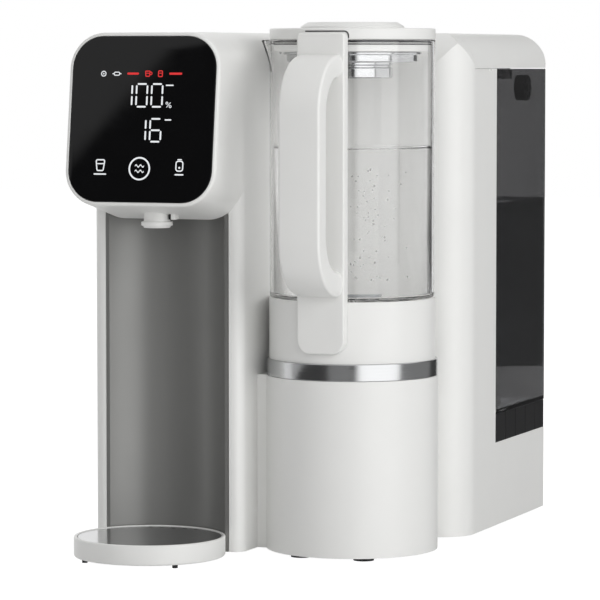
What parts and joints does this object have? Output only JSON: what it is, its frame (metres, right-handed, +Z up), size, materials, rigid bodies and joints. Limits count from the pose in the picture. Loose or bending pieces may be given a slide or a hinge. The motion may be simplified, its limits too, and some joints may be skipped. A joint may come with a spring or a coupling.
{
  "type": "countertop reverse osmosis system",
  "caption": "Countertop reverse osmosis water purifier with a touch head over a dispensing bay, a lift-off pitcher, a smoky raw-water tank, top lids and a drip tray.",
  "frame": {"origin": "on the counter, under the middle of the overall box", "axes": "+Z up, +Y from the dispensing front to the back, +X to the right seen from the front"},
  "size_m": [0.243, 0.4154, 0.3848],
  "materials": {
    "white_abs": "moulded, soft satin white",
    "grey_abs": "moulded, matte grey",
    "dark_liner": "moulded, satin dark grey",
    "black_plastic": "moulded, fine texture",
    "black_glass": "polished black touch glass",
    "brushed_steel": "brushed round the ring",
    "polished_steel": "polished stainless steel",
    "clear_vessel": "clear polished wall",
    "smoky_tank": "smoky see-through moulding",
    "rubber": "matte",
    "plain_steel": "plain bright steel",
    "motor_can": "zinc plated can",
    "circuit_board": "green solder mask",
    "supply_case": "yellow insulating wrap",
    "valve_body": "moulded coil case",
    "filter_case": "moulded canister",
    "hose": "smooth tubing"
  },
  "bodies": {
    "housing": {"column_housing": "white_abs", "rear_housing": "white_abs", "front_crown": "white_abs", "lid_deck": "white_abs", "pitcher_stand": "white_abs", "head_shell": "white_abs", "nozzle": "white_abs", "nozzle_latch": "white_abs", "filter_head": "white_abs", "base_plate": "grey_abs", "rear_cover": "grey_abs", "dock_seat": "grey_abs", "tank_dock": "grey_abs", "bay_liner": "dark_liner", "tank_bay": "dark_liner", "power_inlet": "black_plastic", "pump_head": "black_plastic", "purity_sensor": "black_plastic", "display_glass": "black_glass", "trim_ring": "brushed_steel", "rubber_feet": "rubber", "case_screws": "plain_steel", "uv_module": "plain_steel", "pump_motor": "motor_can", "display_board": "circuit_board", "control_board": "circuit_board", "power_supply": "supply_case", "solenoid_valve": "valve_body", "feed_hose": "hose", "pressure_hose": "hose", "valve_hose": "hose", "pure_hose": "hose", "outlet_hose": "hose"},
    "pitcher": {"pitcher_vessel": "clear_vessel", "pitcher_collar": "white_abs", "pitcher_handle": "white_abs"},
    "pitcher_valve": {"pitcher_valve": "grey_abs"},
    "pitcher_lid": {"pitcher_lid": "white_abs", "lid_cap": "white_abs", "lid_gasket": "rubber", "lid_strainer": "polished_steel"},
    "tank": {"tank_shell": "smoky_tank", "tank_skirt": "black_plastic", "tank_valve_guide": "black_plastic", "hinge_pin": "plain_steel"},
    "tank_valve": {"tank_valve": "grey_abs"},
    "tank_knob": {"tank_knob": "black_plastic"},
    "tank_lid": {"tank_lid": "white_abs"},
    "filter_cover": {"filter_cover": "white_abs"},
    "filter": {"filter_cartridge": "filter_case"},
    "pump_rotor": {"pump_rotor": "plain_steel"},
    "plunger": {"valve_plunger": "plain_steel"},
    "tray": {"drip_tray": "white_abs", "tray_feet": "grey_abs"},
    "tray_plate": {"tray_plate": "polished_steel"}
  },
  "joints": [
    {"name": "pitcher_lift", "type": "slide", "parent": "housing", "child": "pitcher", "axis": [0, 0, 1], "range_m": [0, 0.25]},
    {"name": "pitcher_lid_lift", "type": "slide", "parent": "pitcher", "child": "pitcher_lid", "axis": [0, 0, 1], "range_m": [0, 0.08]},
    {"name": "pitcher_valve_lift", "type": "slide", "parent": "pitcher", "child": "pitcher_valve", "axis": [0, 0, 1], "range_m": [0, 0.003]},
    {"name": "tank_lift", "type": "slide", "parent": "housing", "child": "tank", "axis": [0, 0, 1], "range_m": [0, 0.29]},
    {"name": "tank_lid_hinge", "type": "hinge", "parent": "tank", "child": "tank_lid", "pos_m": [0.0515, 0.20475, 0.3543], "axis": [-1, 0, 0], "range_deg": [0, 90]},
    {"name": "tank_knob_turn", "type": "hinge", "parent": "tank", "child": "tank_knob", "pos_m": [0.1215, 0.16375, 0.336], "axis": [1, 0, 0], "range_deg": [0, 90]},
    {"name": "tank_valve_lift", "type": "slide", "parent": "tank", "child": "tank_valve", "axis": [0, 0, 1], "range_m": [0, 0.003]},
    {"name": "filter_cover_lift", "type": "slide", "parent": "housing", "child": "filter_cover", "axis": [0, 0, 1], "range_m": [0, 0.1]},
    {"name": "filter_twist", "type": "hinge", "parent": "housing", "child": "filter", "pos_m": [-0.0702, 0.15415, 0.07], "axis": [0, 0, 1], "range_deg": [0, 60]},
    {"name": "pump_spin", "type": "hinge", "parent": "housing", "child": "pump_rotor", "pos_m": [0.0149, 0.04255, 0.033], "axis": [1, 0, 0], "continuous": true},
    {"name": "valve_plunger_slide", "type": "slide", "parent": "housing", "child": "plunger", "axis": [0, 0, 1], "range_m": [0, 0.003]},
    {"name": "tray_slide", "type": "slide", "parent": "housing", "child": "tray", "axis": [0, -1, 0], "range_m": [0, 0.12]},
    {"name": "tray_plate_lift", "type": "slide", "parent": "tray", "child": "tray_plate", "axis": [0, 0, 1], "range_m": [0, 0.05]}
  ]
}
